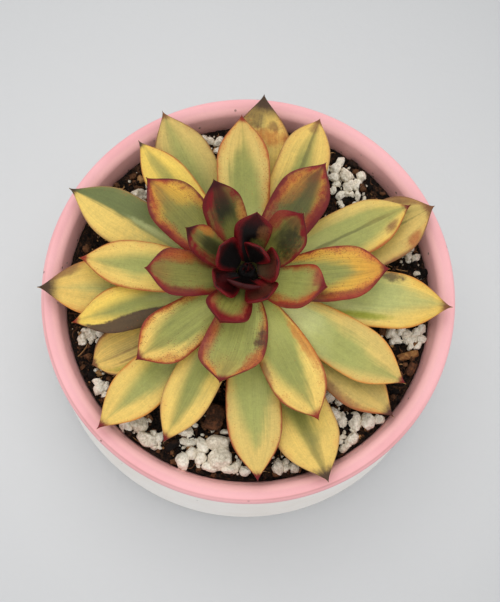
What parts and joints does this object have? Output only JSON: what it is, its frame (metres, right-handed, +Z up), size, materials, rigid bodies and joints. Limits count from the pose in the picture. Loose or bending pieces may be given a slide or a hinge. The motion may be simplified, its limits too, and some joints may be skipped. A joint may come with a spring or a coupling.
{
  "type": "potted echeveria",
  "caption": "Echeveria rosette with thick pointed leaves, planted in a low round two-piece pot with perlite and bark on the soil.",
  "frame": {"origin": "centre of the flat underside of the pot", "axes": "+Z up out of the pot, -Y the side that faces the viewer of the picture, +X to the viewer's right"},
  "size_m": [0.1308, 0.13, 0.085],
  "materials": {
    "white_pot": "satin off-white",
    "pink_pot": "satin pink",
    "soil": "dark peaty mix",
    "perlite": "porous white grains",
    "bark": "rough split bark",
    "stem": "green to woody",
    "leaf": "smooth waxy skin, yellow to green with red margins",
    "young_leaf": "smooth waxy skin, dark maroon with red margins"
  },
  "bodies": {
    "root": {"bark_back": "bark", "bark_brown": "bark", "bark_dark": "bark", "bark_large": "bark", "bark_tan": "bark", "heart_bud": "young_leaf", "leaf_01": "leaf", "leaf_02": "leaf", "leaf_03": "leaf", "leaf_04": "leaf", "leaf_05": "leaf", "leaf_06": "leaf", "leaf_07": "leaf", "leaf_08": "leaf", "leaf_09": "leaf", "leaf_10": "leaf", "leaf_11": "leaf", "leaf_12": "leaf", "leaf_13": "leaf", "leaf_14": "leaf", "leaf_15": "leaf", "leaf_16": "leaf", "leaf_17": "leaf", "leaf_18": "leaf", "leaf_19": "leaf", "leaf_20": "leaf", "leaf_21": "leaf", "leaf_22": "leaf", "leaf_23": "leaf", "leaf_24": "leaf", "leaf_25": "leaf", "leaf_26": "leaf", "leaf_27": "leaf", "leaf_28": "leaf", "leaf_29": "leaf", "leaf_30": "leaf", "leaf_31": "leaf", "leaf_32": "young_leaf", "leaf_33": "young_leaf", "leaf_34": "young_leaf", "leaf_35": "young_leaf", "leaf_36": "young_leaf", "leaf_37": "young_leaf", "leaf_38": "young_leaf", "perlite_back_left": "perlite", "perlite_back_right": "perlite", "perlite_front": "perlite", "perlite_front_left": "perlite", "perlite_front_right": "perlite", "perlite_front_small": "perlite", "perlite_left": "perlite", "perlite_left_back": "perlite", "perlite_left_low": "perlite", "perlite_low_right": "perlite", "perlite_mid_right": "perlite", "perlite_right": "perlite", "plant_stem": "stem", "pot_body": "white_pot", "pot_liner": "pink_pot", "potting_mix": "soil"}
  },
  "joints": []
}
